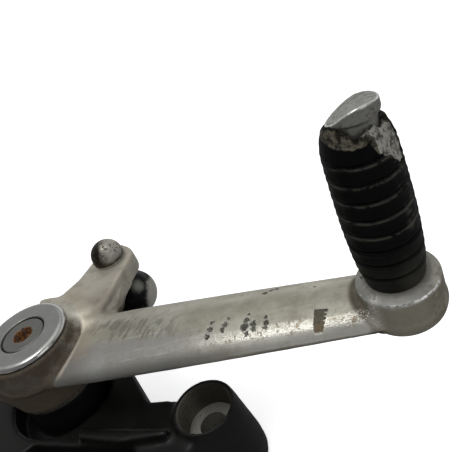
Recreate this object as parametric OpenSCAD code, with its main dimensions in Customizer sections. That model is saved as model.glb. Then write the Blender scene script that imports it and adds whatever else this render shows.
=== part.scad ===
// Footrest bracket with its gear-change lever, lying on its back on the frame mounting faces.
// +Z points outboard along the lever pivot, +X runs along the lever arm to the toe peg.
// The origin is on the axis of the front frame mounting, in the plane of the frame.

/* [Lever arm] */
// Distance from the pivot axis to the toe peg axis
lever_length = 118; // [100:1:140]
// Half width of the arm where it leaves the hub
arm_root_half = 13.8; // [12:0.5:15]
// Half width of the arm where it meets the peg boss
arm_tip_half = 9.9; // [8:0.2:11]
// Height of the domed outer face of the arm
arm_dome = 5.5; // [4:0.25:6.5]
// Thickness of the flat edge band under the dome
arm_band = 1.6; // [1.2:0.1:2.6]
// Drop of the parting line below the hub top at the root
arm_drop = 9.2; // [8:0.2:10.5]
// Rise of the parting line from the hub to the peg boss
arm_rise = 2.4; // [0:0.2:4]

/* [Hub] */
// Radius of the hub above the parting ridge
hub_radius = 15.3; // [14.9:0.1:17]
// Height of the hub between its two end faces
hub_height = 19.6; // [18:0.2:24]
// How far the parting ridge stands out of the hub
ridge_out = 0.5; // [0.2:0.1:1]
// Length of the tail lug from the pivot axis
tail_length = 20; // [17:0.5:24]
// Radius of the round end of the tail lug
tail_radius = 6.5; // [5:0.5:8]
// Thickness of the tail lug
tail_thick = 9; // [6:0.5:10]

/* [Rod arm] */
// Rod stud position along the lever arm
rod_x = 16.4; // [14:0.1:20]
// Rod stud position across the lever arm
rod_y = 36.6; // [34:0.5:44]
// Radius of the round end of the rod arm
rod_end_radius = 8.3; // [7:0.1:9]
// Radius of the wide root of the rod arm
rod_root_radius = 9.8; // [8:0.2:11]
// Thickness of the rod arm
rod_thick = 8; // [6:0.25:9]

/* [Peg boss] */
// Radius of the peg boss at its top face
boss_radius = 11.2; // [10.6:0.1:13]
// Height of the peg boss
boss_height = 11.8; // [10:0.2:13]
// Radius of the peg shank in the boss
peg_radius = 5; // [4:0.25:5.5]
// Rise of the crowned top face of the boss to the rubber
boss_crown = 1; // [0.4:0.1:1.6]

/* [Toe peg] */
// Length of the rubber sleeve
rubber_length = 42.7; // [38:0.1:50]
// Greatest radius of the rubber sleeve
rubber_radius = 9.6; // [8.6:0.1:10.4]
// Radius of the rubber sleeve at the boss
rubber_base_radius = 7.4; // [7:0.1:8.5]
// Spacing of the ring grooves
groove_pitch = 4.85; // [4:0.05:6]
// Depth of the ring grooves
groove_depth = 0.9; // [0.4:0.1:1.2]
// Width of the ring grooves
groove_width = 1.3; // [0.6:0.1:1.8]
// Radius of the flanged head that keeps the rubber on
head_radius = 6.1; // [5.8:0.1:7.5]
// Height of the flanged head before it was ground away
head_height = 6; // [4.5:0.25:8]
// Length of bare neck between the rubber and the head
neck_length = 3; // [1:0.2:5]
// Slant of the ground-off face towards the arm
grind_slant = 22; // [5:1:26]
// Slant of the ground-off face across the arm
grind_cross = 12; // [0:1:18]

/* [Pivot] */
// Radius of the flange that keeps the lever on
flange_radius = 14.3; // [13.5:0.1:14.7]
// Thickness of the flange
flange_thick = 1.8; // [1.4:0.1:2.5]
// Width of the rounding at the rim of the flange
flange_round = 1.6; // [0.8:0.1:2.4]
// Outer radius of the collar barrel the lever turns on
barrel_radius = 9; // [8.8:0.1:9.6]
// Wall of the plain bearing bushes
bush_wall = 1.5; // [1:0.1:1.8]
// Length of each bush
bush_length = 7; // [5:0.5:7]
// Radial running clearance between collar and bushes
run_clear = 0.03; // [0.02:0.005:0.05]
// End float of the lever at each end of the hub
end_float = 0.1; // [0.05:0.05:0.3]
// Thickness of the thrust washer under the hub
thrust_thick = 1; // [0.6:0.1:2]
// Depth of the seal recess at each end of the hub
seal_depth = 2.2; // [1.6:0.1:2.4]
// Outer radius of the seals
seal_radius = 12.6; // [12:0.1:13.2]
// Radius of the pivot screw shank
screw_radius = 4; // [3:0.5:5]
// Radius of the pivot screw head
screw_head_radius = 7.1; // [6.8:0.1:7.5]
// Height of the pivot screw head
screw_head_height = 4.6; // [4:0.2:6]
// Size across the flats of the socket in the screw head
socket_flats = 6; // [5:0.5:7]
// Depth of the socket in the screw head
socket_depth = 3.2; // [2:0.2:3.4]
// Size across the flats of the pivot nut
nut_flats = 13; // [12:0.5:16]
// Height of the pivot nut
nut_height = 6.5; // [5:0.5:7]

/* [Rod stud] */
// Diameter of the ball on the rod stud
ball_dia = 17; // [13:0.5:18]
// Gap between the rod arm and the top of the ball
ball_gap = 2; // [1.4:0.2:5]
// Radius of the stud shank
stud_radius = 3; // [2.5:0.25:4]
// Radius of the domed nut on the outer end of the stud
dome_radius = 5.8; // [5.4:0.05:6.4]

/* [Bracket] */
// Height of the lever seat above the mounting faces
seat_height = 29.4; // [29:0.2:36]
// Radius of the pivot boss
pivot_boss_radius = 13.2; // [12.6:0.1:14.5]
// Radius of the recess round the pivot boss
recess_radius = 18.8; // [18:0.1:19.5]
// Radius of the round pivot end of the bracket
pivot_end_radius = 21; // [20.5:0.1:23]
// Height of the bracket's inner face above the mounting faces
back_height = 12; // [9:0.5:14]
// Thickness of the thin web
web_thick = 5; // [4:0.5:6.5]
// Height of the bars above the mounting faces
bar_height = 24; // [22:0.5:24.5]
// Height of the raised edge rib above the mounting faces
rib_height = 27; // [25:0.5:28]
// Width of the raised edge rib
rib_width = 3.4; // [2.5:0.1:4.5]

/* [Frame mountings] */
// Front mounting, distance from the pivot along the arm
front_x = 55.2; // [50:0.5:64]
// Front mounting, distance from the pivot across the arm
front_y = -14.3; // [-18:0.5:-12]
// Rear mounting, distance from the pivot along the arm
rear_x = -38; // [-48:1:-34]
// Rear mounting, distance from the pivot across the arm
rear_y = -42; // [-50:1:-38]
// Height of the mounting bosses
mount_height = 26; // [24:0.5:30]
// Radius of the mounting bosses at the mouth
mount_top_radius = 9.9; // [9.6:0.1:11]
// Radius of the mounting bosses at the frame
mount_foot_radius = 12; // [11.6:0.1:14]
// Radius of the counterbore for the bolt head
counterbore_radius = 8.4; // [8:0.1:8.6]
// Depth of the counterbore
counterbore_depth = 9; // [7:0.5:12]
// Radius of the hole in the mounting sleeves
mount_hole_radius = 4.3; // [3.3:0.1:4.8]
// Outer radius of the mounting sleeves
sleeve_radius = 6; // [5.6:0.1:6.5]
// Radius of the flange of the mounting sleeves
sleeve_flange_radius = 7.7; // [7.4:0.1:7.9]
// Thickness of the flange of the mounting sleeves
sleeve_flange_thick = 1.6; // [1.2:0.1:2.4]

/* [Footrest clevis] */
// Clevis position along the arm
clevis_x = 12; // [6:1:18]
// Clevis position across the arm
clevis_y = -62; // [-72:1:-58]
// Gap between the clevis ears
clevis_gap = 16; // [14:0.5:19]
// Thickness of each clevis ear
ear_thick = 6.5; // [5:0.5:8]
// Radius of the clevis ears round the pin
ear_radius = 9; // [8:0.5:10]
// Height of the footrest pin above the mounting faces
pin_height = 36; // [34:0.5:42]
// Radius of the footrest pin hole
pin_hole_radius = 4.1; // [3:0.1:5]
// Radius of the bracket foot that carries the clevis
foot_radius = 14.5; // [13:0.5:18]
// Reach of the bracket behind the pivot
heel_length = 24; // [18:0.5:30]
// Radius of the bracket's round heel
heel_radius = 15; // [12:0.5:18]

/* [Hidden] */
$fn = 72;
e = 0.01;
// Stack of heights along the pivot
hub_z0 = seat_height + thrust_thick + end_float;
hub_z1 = hub_z0 + hub_height;
flange_z0 = hub_z1 + end_float;
face_z = flange_z0 + flange_thick;
bush_outer = barrel_radius + run_clear + bush_wall;
screw_gap = 0.25;
head_gap = 0.2;
head_bed_z = face_z - head_gap - screw_head_height;
nut_washer = 1.5;
nut_recess = 1.1;
nut_bed_z = nut_recess + nut_height + nut_washer;
nut_pocket_radius = nut_flats / 2 / cos(30) + 2;
hub_low_radius = hub_radius - 0.6;
// Parting line and arm
line_z = hub_z1 - arm_drop;
arm_under_z = line_z - arm_band;
boss_z1 = face_z;
boss_z0 = boss_z1 - boss_height;
boss_ridge_z = boss_z1 - 8.3;
arm_x0 = hub_radius * 0.55;
arm_x1 = lever_length - boss_radius * 0.45;
arm_steps = 22;
dome_steps = 20;
// Rod arm
rod_z0 = arm_under_z;
rod_z1 = rod_z0 + rod_thick;
root_x = 11.7;
root_y = 12;
shoulder_radius = hub_radius + 3.4;
shoulder_z = hub_z1 - 0.3;
rod_end = [rod_x + 0.7, rod_y];
ramp_end = norm(rod_end) - rod_end_radius - 3.5;
ball_r = ball_dia / 2;
ball_z = rod_z0 - ball_gap - ball_r;
tip_thread = 3.2;
// Toe peg
peg_collar = 0.5;
rubber_z0 = boss_z1 + boss_crown;
rubber_z1 = rubber_z0 + rubber_length;
head_z0 = rubber_z1 + neck_length;
head_z1 = head_z0 + head_height;
first_groove = 5.3;
groove_count = floor((rubber_length - first_groove - 3) / groove_pitch) + 1;
rubber_top_radius = rubber_radius - 0.9;
// Bracket
web_top = back_height + web_thick;
bar_x = 30.5;
bar_y = front_y - 2.2;
bar_half = 8;
bar_tip_half = 6.4;
sleeve_bed_z = mount_height - counterbore_depth - sleeve_flange_thick;

// Outline of a bar with round ends: an arc of radius ra round a, an arc of radius rb
// round b, and the two straight sides that touch both.
function side_angle(a, ra, b, rb) = acos((ra - rb) / norm(b - a));
function way(a, b) = atan2(b[1] - a[1], b[0] - a[0]);
function on_circle(c, r, t) = [c[0] + r * cos(t), c[1] + r * sin(t)];
function arc(c, r, t0, t1, n) = [for (k = [0:n]) on_circle(c, r, t0 + (t1 - t0) * k / n)];
function bar_outline(a, ra, b, rb) = let (w = way(a, b), s = side_angle(a, ra, b, rb)) concat(
    arc(b, rb, w - s, w + s, 16),
    arc(a, ra, w + s, w + 360 - s, 20)
);

module bar(a, ra, b, rb, h) {
    linear_extrude(h) polygon(bar_outline(a, ra, b, rb));
}

module ring(ri, ro, h) {
    difference() {
        cylinder(r = ro, h = h);
        translate([0, 0, -1]) cylinder(r = ri, h = h + 2);
    }
}

// Everything is drawn round the pivot axis and then moved to the front mounting
module from_pivot() {
    translate([-front_x, -front_y, 0]) children();
}

module at(p, z) {
    translate([p[0], p[1], z]) children();
}

// The lever arm is a loft of D-shaped sections: a half-elliptical dome over a
// thin edge band, narrowing and rising from the hub to the peg boss.
function along(i) = i / arm_steps;
function arm_x(i) = arm_x0 + (arm_x1 - arm_x0) * along(i);
function arm_t(x) = x / lever_length;
function arm_half(x) = arm_root_half - (arm_root_half - arm_tip_half)
    * (0.42 * arm_t(x) + 0.58 * pow(arm_t(x), 2));
function arm_line(x) = line_z + arm_rise * arm_t(x);
function arm_height(x) = arm_dome * (0.84 + 0.16 * min(1, 3 * arm_t(x)));
function arm_section(x) = concat(
    [for (k = [0:dome_steps])
        [x, arm_half(x) * cos(180 * k / dome_steps),
            arm_line(x) + arm_height(x) * sin(180 * k / dome_steps)]],
    [
        [x, 0.3 - arm_half(x), arm_line(x) - 0.7 * arm_band],
        [x, 1.2 - arm_half(x), arm_line(x) - arm_band],
        [x, arm_half(x) - 1.2, arm_line(x) - arm_band],
        [x, arm_half(x) - 0.3, arm_line(x) - 0.7 * arm_band]
    ]
);
arm_ring = dome_steps + 5;

module arm_loft() {
    pts = [for (i = [0:arm_steps]) for (p = arm_section(arm_x(i))) p];
    sides = [
        for (i = [0:arm_steps - 1]) for (k = [0:arm_ring - 1])
            let (a = i * arm_ring + k, d = i * arm_ring + (k + 1) % arm_ring)
                each [[a, a + arm_ring, d + arm_ring], [a, d + arm_ring, d]]
    ];
    ends = [
        [for (k = [0:arm_ring - 1]) k],
        [for (k = [arm_ring - 1:-1:0]) arm_steps * arm_ring + k]
    ];
    polyhedron(pts, concat(sides, ends));
}

// Hub: outer wall, parting ridge and the plainer wall below it
module hub_body() {
    rotate_extrude() polygon([
        [0, hub_z0],
        [hub_low_radius - 0.8, hub_z0],
        [hub_low_radius, hub_z0 + 0.8],
        [hub_low_radius, line_z - 1.2],
        [hub_radius + ridge_out, line_z - 0.5],
        [hub_radius + ridge_out, line_z + 0.3],
        [hub_radius, line_z + 1],
        [hub_radius, hub_z1 - 0.4],
        [hub_radius - 0.4, hub_z1],
        [0, hub_z1]
    ]);
}

// Flat shoulder that carries the rod arm round the outside of the flange
module hub_shoulder() {
    intersection() {
        translate([0, 0, rod_z0]) cylinder(r = shoulder_radius, h = shoulder_z - rod_z0);
        translate([0, 0, rod_z0]) linear_extrude(shoulder_z - rod_z0) polygon([
            [0, 0], on_circle([0, 0], 40, 102), on_circle([0, 0], 40, 60),
            on_circle([0, 0], 40, 24)
        ]);
    }
}

module rod_arm() {
    at([0, 0], rod_z0) bar([root_x, root_y], rod_root_radius, rod_end, rod_end_radius, rod_thick);
    rod_ramp();
}

// Sloping web that runs the shoulder down into the flat of the rod arm
module rod_ramp() {
    turn = way([0, 0], rod_end);
    intersection() {
        at([0, 0], rod_z0) bar([root_x, root_y], rod_root_radius - 0.4, rod_end, rod_end_radius - 0.4,
            shoulder_z - rod_z0 + 1);
        rotate([0, 0, turn]) translate([0, 20, 0]) rotate([90, 0, 0]) linear_extrude(40) polygon([
            [shoulder_radius - 4, rod_z1 - 2], [shoulder_radius - 4, shoulder_z - 0.3],
            [shoulder_radius - 0.5, shoulder_z - 0.3], [ramp_end, rod_z1 + 0.05], [ramp_end, rod_z1 - 2]
        ]);
    }
}

// Concave corner between the rod arm and the lever arm
module arm_corner() {
    corner_r = 7;
    cx = root_x + rod_root_radius + corner_r - 0.5;
    cy = arm_half(cx) + corner_r - 0.6;
    translate([0, 0, rod_z0]) difference() {
        linear_extrude(arm_band + 1.6) polygon([
            [root_x, arm_half(cx) - 4], [cx, arm_half(cx) - 4], [cx, cy - corner_r + 0.2],
            [cx - corner_r + 0.2, cy], [root_x, cy]
        ]);
        translate([cx, cy, -1]) cylinder(r = corner_r, h = arm_band + 4);
    }
}

// Peg boss: drafted wall, parting ridge low on the wall and a rounded foot
module boss_body() {
    r = boss_radius;
    translate([lever_length, 0, 0]) rotate_extrude() polygon(concat(
        [
            [0, boss_z0], [r - 1.9, boss_z0], [r - 1.1, boss_z0 + 0.25],
            [r - 0.5, boss_z0 + 0.8], [r - 0.1, boss_z0 + 1.8],
            [r + 0.35, boss_ridge_z - 0.35], [r + 0.35, boss_ridge_z + 0.35],
            [r + 0.1, boss_ridge_z + 0.9], [r, boss_z1 - 0.6], [r - 0.25, boss_z1 - 0.15],
            [r - 0.7, boss_z1], [rubber_base_radius + 0.3, boss_z1 + boss_crown],
            [0, boss_z1 + boss_crown]
        ]
    ));
}

module tail_lug() {
    at([0, 0], hub_z0) bar([0, 0], hub_low_radius - 0.4, [-tail_length, 0], tail_radius, tail_thick);
}

module lever_casting() color("silver") from_pivot() difference() {
    union() {
        hub_body();
        hub_shoulder();
        rod_arm();
        arm_corner();
        arm_loft();
        boss_body();
        tail_lug();
    }
    translate([0, 0, hub_z0 - 1]) cylinder(r = bush_outer, h = hub_height + 2);
    translate([0, 0, hub_z0 - 1]) cylinder(r = seal_radius, h = seal_depth + 1);
    translate([0, 0, hub_z1 - seal_depth]) cylinder(r = seal_radius, h = seal_depth + 1);
    translate([lever_length, 0, boss_z0 - 1]) cylinder(r = peg_radius, h = boss_height + boss_crown + 2);
    translate([rod_x, rod_y, rod_z0 - 1]) cylinder(r = stud_radius, h = rod_thick + 2);
}

module bush(z) {
    translate([0, 0, z]) ring(barrel_radius + run_clear, bush_outer, bush_length);
}

module bush_outer_end() color("peru") from_pivot() bush(hub_z1 - seal_depth - bush_length);

module bush_inner_end() color("peru") from_pivot() bush(hub_z0 + seal_depth);

// Lip seals with a groove round the inside
module seal(z) {
    translate([0, 0, z]) rotate_extrude() polygon([
        [barrel_radius + 0.25, 0], [seal_radius, 0], [seal_radius, seal_depth],
        [barrel_radius + 0.25, seal_depth], [barrel_radius + 0.25, seal_depth * 0.7],
        [barrel_radius + 0.9, seal_depth * 0.5], [barrel_radius + 0.25, seal_depth * 0.3]
    ]);
}

module seal_outer_end() color("dimgray") from_pivot() seal(hub_z1 - seal_depth);

module seal_inner_end() color("dimgray") from_pivot() seal(hub_z0);

module thrust_washer() color("lightgray") from_pivot()
    translate([0, 0, seat_height]) ring(barrel_radius + 0.3, pivot_boss_radius + 0.4, thrust_thick);

// Collar: barrel the lever turns on, with a rounded flange recessed for the screw head
module pivot_collar() color("gainsboro") from_pivot() difference() {
    rotate_extrude() polygon(concat(
        [
            [screw_radius + screw_gap, seat_height], [barrel_radius - 0.4, seat_height],
            [barrel_radius, seat_height + 0.4], [barrel_radius, flange_z0],
            [flange_radius - 0.3, flange_z0]
        ],
        [for (k = [0:8]) [flange_radius - flange_round + flange_round * cos(90 * k / 8),
            flange_z0 + 0.3 + (flange_thick - 0.3) * sin(90 * k / 8)]],
        [[screw_radius + screw_gap, face_z]]
    ));
    translate([0, 0, head_bed_z]) cylinder(r = screw_head_radius + head_gap, h = screw_head_height + 1);
    translate([0, 0, seat_height - 1]) cylinder(r = screw_radius + screw_gap, h = hub_height + 10);
}

module pivot_screw() color("gray") from_pivot() difference() {
    union() {
        translate([0, 0, nut_recess]) cylinder(r = screw_radius, h = head_bed_z - nut_recess + e);
        translate([0, 0, head_bed_z]) rotate_extrude() polygon([
            [0, 0], [screw_head_radius, 0], [screw_head_radius, screw_head_height - 0.35],
            [screw_head_radius - 0.35, screw_head_height], [0, screw_head_height]
        ]);
    }
    translate([0, 0, face_z - head_gap - socket_depth])
        cylinder(d = socket_flats / cos(30), h = socket_depth + 1, $fn = 6);
}

module pivot_nut() color("gray") from_pivot() difference() {
    translate([0, 0, nut_recess]) cylinder(d = nut_flats / cos(30), h = nut_height, $fn = 6);
    translate([0, 0, nut_recess - 1]) cylinder(r = screw_radius + 0.05, h = nut_height + 2);
}

module pivot_nut_washer() color("lightgray") from_pivot()
    translate([0, 0, nut_recess + nut_height])
        ring(screw_radius + screw_gap, nut_pocket_radius - 0.6, nut_washer);

// Toe peg: shank pressed in the boss, rubber core, neck and a head ground away at a slant
module toe_peg() color("darkgray") from_pivot() translate([lever_length, 0, 0]) difference() {
    rotate_extrude() polygon([
        [0, boss_z0 + 0.3], [peg_radius - 0.6, boss_z0 + 0.3], [peg_radius, boss_z0 + 0.9],
        [peg_radius, head_z0 - 0.7], [peg_radius + 0.4, head_z0],
        [head_radius - 0.5, head_z0 + 0.1], [head_radius, head_z0 + 0.6],
        [head_radius, head_z1], [0, head_z1]
    ]);
    translate([0, 0, head_z0 + head_height * 0.6])
        rotate([-grind_cross, -grind_slant, 0])
            translate([-20, -20, 0]) cube([40, 40, 20]);
}

// Rubber sleeve: barrel-shaped outside with ring grooves and a rounded top edge
function sleeve_r(z) = let (t = (z - rubber_z0) / rubber_length)
    t < 0.42 ? rubber_base_radius + (rubber_radius - rubber_base_radius) * pow(sin(90 * t / 0.42), 0.8)
    : rubber_top_radius + (rubber_radius - rubber_top_radius) * cos(90 * (t - 0.42) / 0.58);
function band(z0, z1) = [for (k = [0:3]) let (z = z0 + (z1 - z0) * k / 3)
    [sleeve_r(z) + 0.25 * sin(60 * k), z]];
function groove_z(i) = rubber_z0 + first_groove + groove_pitch * i;

module peg_rubber() color("black") from_pivot() translate([lever_length, 0, 0]) rotate_extrude() polygon(concat(
    [[peg_radius, rubber_z0]],
    band(rubber_z0, groove_z(0) - groove_width / 2),
    [for (i = [0:groove_count - 1]) each concat(
        [
            [sleeve_r(groove_z(i)) - groove_depth, groove_z(i) - groove_width * 0.25],
            [sleeve_r(groove_z(i)) - groove_depth, groove_z(i) + groove_width * 0.25]
        ],
        band(groove_z(i) + groove_width / 2,
            i < groove_count - 1 ? groove_z(i + 1) - groove_width / 2 : rubber_z1 - 1.2)
    )],
    [[rubber_top_radius - 0.6, rubber_z1 - 0.3], [rubber_top_radius - 1.6, rubber_z1],
        [peg_radius, rubber_z1]]
));

// Ball stud: ball on the inner side, neck, collar against the arm and threaded shank
module rod_ball_stud() color("dimgray") from_pivot() translate([rod_x, rod_y, 0]) union() {
    translate([0, 0, ball_z]) sphere(r = ball_r);
    translate([0, 0, ball_z]) cylinder(r = stud_radius + 1, h = rod_z0 - ball_z - 0.9);
    translate([0, 0, rod_z0 - 1]) cylinder(r = stud_radius + 2.2, h = 1);
    translate([0, 0, rod_z0 - e]) cylinder(r = stud_radius, h = rod_thick + tip_thread);
}

module rod_stud_washer() color("lightgray") from_pivot()
    translate([rod_x, rod_y, rod_z1]) ring(stud_radius + 0.05, dome_radius - 0.35, 0.8);

// Domed nut on the outer end of the stud
module rod_stud_nut() color("darkgray") from_pivot() translate([rod_x, rod_y, rod_z1 + 0.8]) difference() {
    union() {
        cylinder(r = dome_radius, h = 1.4);
        translate([0, 0, 1.4]) intersection() {
            sphere(r = dome_radius);
            cylinder(r = dome_radius + 1, h = dome_radius + 1);
        }
    }
    translate([0, 0, -1]) cylinder(r = stud_radius + 0.05, h = tip_thread + 1.2);
}

// Bracket casting
function mount_front() = [front_x, front_y];
function mount_rear() = [rear_x, rear_y];
function clevis_at() = [clevis_x, clevis_y];

module mount_boss(p) {
    at(p, 0) rotate_extrude() polygon([
        [0, 0], [mount_foot_radius - 0.6, 0], [mount_foot_radius, 0.6],
        [mount_foot_radius, back_height * 0.5], [mount_top_radius + 0.3, mount_height - 3],
        [mount_top_radius, mount_height - 0.5], [mount_top_radius - 0.4, mount_height],
        [0, mount_height]
    ]);
}

module mount_cut(p) {
    at(p, -1) cylinder(r = sleeve_radius, h = mount_height + 2);
    at(p, sleeve_bed_z) cylinder(r = sleeve_flange_radius, h = mount_height);
    at(p, sleeve_bed_z + sleeve_flange_thick) cylinder(r = counterbore_radius, h = mount_height);
    at(p, mount_height - 0.7) rotate_extrude() polygon([
        [0, 0], [counterbore_radius, 0], [counterbore_radius + 0.8, 0.8],
        [counterbore_radius + 0.8, 2], [0, 2]
    ]);
}

module web() {
    at([0, 0], back_height) linear_extrude(web_thick) polygon([
        [0, 0], mount_front(), clevis_at(), mount_rear()
    ]);
}

module bars() {
    h = bar_height - back_height;
    at([0, 0], back_height) {
        bar([0, 0], pivot_end_radius, [bar_x, bar_y], bar_half, h);
        bar([bar_x, bar_y], bar_half, [front_x, bar_y], bar_tip_half, h);
        bar([0, 0], pivot_end_radius * 0.62, mount_rear(), 8.5, h);
        bar([0, 0], pivot_end_radius - 0.3, [-heel_length, 0], heel_radius, h);
        bar(mount_front(), 7, clevis_at(), 8.5, h);
        bar(mount_rear(), 7, clevis_at(), 8.5, h);
        at(clevis_at(), 0) cylinder(r = foot_radius, h = h);
    }
}

// Raised rib along the near edge of the front bar, ending beside the boss
module edge_rib() {
    r = pivot_end_radius;
    x1 = front_x - mount_top_radius + 0.5;
    y1 = bar_y - bar_tip_half - 0.4;
    translate([0, 0, back_height]) linear_extrude(rib_height - back_height) polygon([
        [0.69 * r, -0.86 * r], [x1, y1 + 0.62 * rib_width], [x1, y1],
        [bar_x, bar_y - bar_half + 0.2], [0.74 * r, -1.03 * r]
    ]);
}

module clevis_ear(x) {
    translate([x, clevis_y, 0]) rotate([0, 90, 0])
        bar([-back_height - ear_radius, 0], ear_radius, [-pin_height, 0], ear_radius, ear_thick);
}

module pivot_boss() {
    cylinder(r = pivot_boss_radius, h = seat_height);
}

// Web, bars and edge rib with the recess sunk round the pivot boss
module bracket_plate() {
    difference() {
        union() {
            web();
            bars();
            edge_rib();
        }
        translate([0, 0, web_top]) cylinder(r = recess_radius, h = seat_height);
    }
}

module bracket_casting() color("#2b2b2b") from_pivot() difference() {
    union() {
        bracket_plate();
        pivot_boss();
        mount_boss(mount_front());
        mount_boss(mount_rear());
        clevis_ear(clevis_x - clevis_gap / 2 - ear_thick);
        clevis_ear(clevis_x + clevis_gap / 2);
    }
    mount_cut(mount_front());
    mount_cut(mount_rear());
    // Screw hole and nut pocket
    translate([0, 0, -1]) cylinder(r = screw_radius + screw_gap, h = seat_height + 2);
    translate([0, 0, -1]) cylinder(r = nut_pocket_radius, h = nut_bed_z + 1);
    // Clevis slot and the holes for the footrest pin bushes
    translate([clevis_x - clevis_gap / 2, clevis_y - foot_radius - 1, bar_height])
        cube([clevis_gap, 2 * foot_radius + 2, pin_height]);
    translate([clevis_x - clevis_gap / 2 - ear_thick - 1, clevis_y, pin_height])
        rotate([0, 90, 0]) cylinder(r = pin_hole_radius + 1, h = clevis_gap + 2 * ear_thick + 2);
}

module mount_sleeve(p) {
    difference() {
        at(p, 0) union() {
            cylinder(r = sleeve_radius, h = sleeve_bed_z + e);
            translate([0, 0, sleeve_bed_z]) cylinder(r = sleeve_flange_radius, h = sleeve_flange_thick);
        }
        at(p, -1) cylinder(r = mount_hole_radius, h = mount_height + 2);
    }
}

module mount_sleeve_front() color("silver") from_pivot() mount_sleeve(mount_front());

module mount_sleeve_rear() color("silver") from_pivot() mount_sleeve(mount_rear());

module clevis_bush(x) {
    translate([x, clevis_y, pin_height]) rotate([0, 90, 0])
        ring(pin_hole_radius, pin_hole_radius + 1, ear_thick);
}

module clevis_bush_front() color("goldenrod") from_pivot() clevis_bush(clevis_x + clevis_gap / 2);

module clevis_bush_rear() color("goldenrod") from_pivot() clevis_bush(clevis_x - clevis_gap / 2 - ear_thick);

bracket_casting();
lever_casting();
pivot_collar();
pivot_screw();
thrust_washer();
bush_outer_end();
bush_inner_end();
seal_outer_end();
seal_inner_end();
pivot_nut();
pivot_nut_washer();
toe_peg();
peg_rubber();
rod_ball_stud();
rod_stud_nut();
rod_stud_washer();
mount_sleeve_front();
mount_sleeve_rear();
clevis_bush_front();
clevis_bush_rear();
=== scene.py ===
import math
import bmesh
import bpy
from mathutils import Matrix, Vector, noise


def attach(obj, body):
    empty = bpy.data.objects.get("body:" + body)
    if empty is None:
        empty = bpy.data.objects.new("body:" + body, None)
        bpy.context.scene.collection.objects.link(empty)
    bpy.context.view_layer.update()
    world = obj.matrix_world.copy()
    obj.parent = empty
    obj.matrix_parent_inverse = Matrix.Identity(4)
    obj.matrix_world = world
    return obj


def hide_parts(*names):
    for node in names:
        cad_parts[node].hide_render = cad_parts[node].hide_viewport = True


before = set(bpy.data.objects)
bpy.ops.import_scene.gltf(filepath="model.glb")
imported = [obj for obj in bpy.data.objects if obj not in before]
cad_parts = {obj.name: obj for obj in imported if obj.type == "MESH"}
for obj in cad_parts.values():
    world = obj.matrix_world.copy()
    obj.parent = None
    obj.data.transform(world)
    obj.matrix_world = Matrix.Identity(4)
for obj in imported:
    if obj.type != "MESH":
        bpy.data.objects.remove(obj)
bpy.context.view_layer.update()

# Camera and studio
# A close, wide view from above the toe peg, with the pivot at the lower left.
# The floor and the far wall are white; the room on the camera's side is darker.
scene = bpy.context.scene
eye = bpy.data.cameras.new("eye")
eye.sensor_width = 36.0
eye.lens = 47.79
eye.shift_x = -0.0469
eye.shift_y = -0.0586
eye.clip_start = 0.01
eye_obj = bpy.data.objects.new("eye", eye)
scene.collection.objects.link(eye_obj)
eye_place = Matrix.Translation((0.07786, -0.10255, 0.16053))
eye_right = (0.931166, 0.134929, -0.33871)
eye_up = (0.199527, 0.588955, 0.783148)
eye_back = (0.305154, -0.796823, 0.521493)
eye_obj.matrix_world = eye_place @ Matrix((eye_right, eye_up, eye_back)).transposed().to_4x4()
scene.camera = eye_obj
scene.view_settings.view_transform = "Standard"


class Socket:
    """A node's output, with the arithmetic that adds Math nodes."""

    def __init__(self, finish, out):
        self.finish = finish
        self.out = out

    def maths(self, operation, *others, swap=False):
        values = [self, *others]
        if swap:
            values.reverse()
        return self.finish.add("ShaderNodeMath", {"operation": operation}, dict(enumerate(values)))

    def __add__(self, other):
        return self.maths("ADD", other)

    def __sub__(self, other):
        return self.maths("SUBTRACT", other)

    def __rsub__(self, other):
        return self.maths("SUBTRACT", other, swap=True)

    def __mul__(self, other):
        return self.maths("MULTIPLY", other)

    def __pow__(self, other):
        return self.maths("POWER", other)

    __radd__ = __add__
    __rmul__ = __mul__

    def least(self, other):
        return self.maths("MINIMUM", other)

    def most(self, other):
        return self.maths("MAXIMUM", other)

    def size(self):
        return self.maths("ABSOLUTE")


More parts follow.
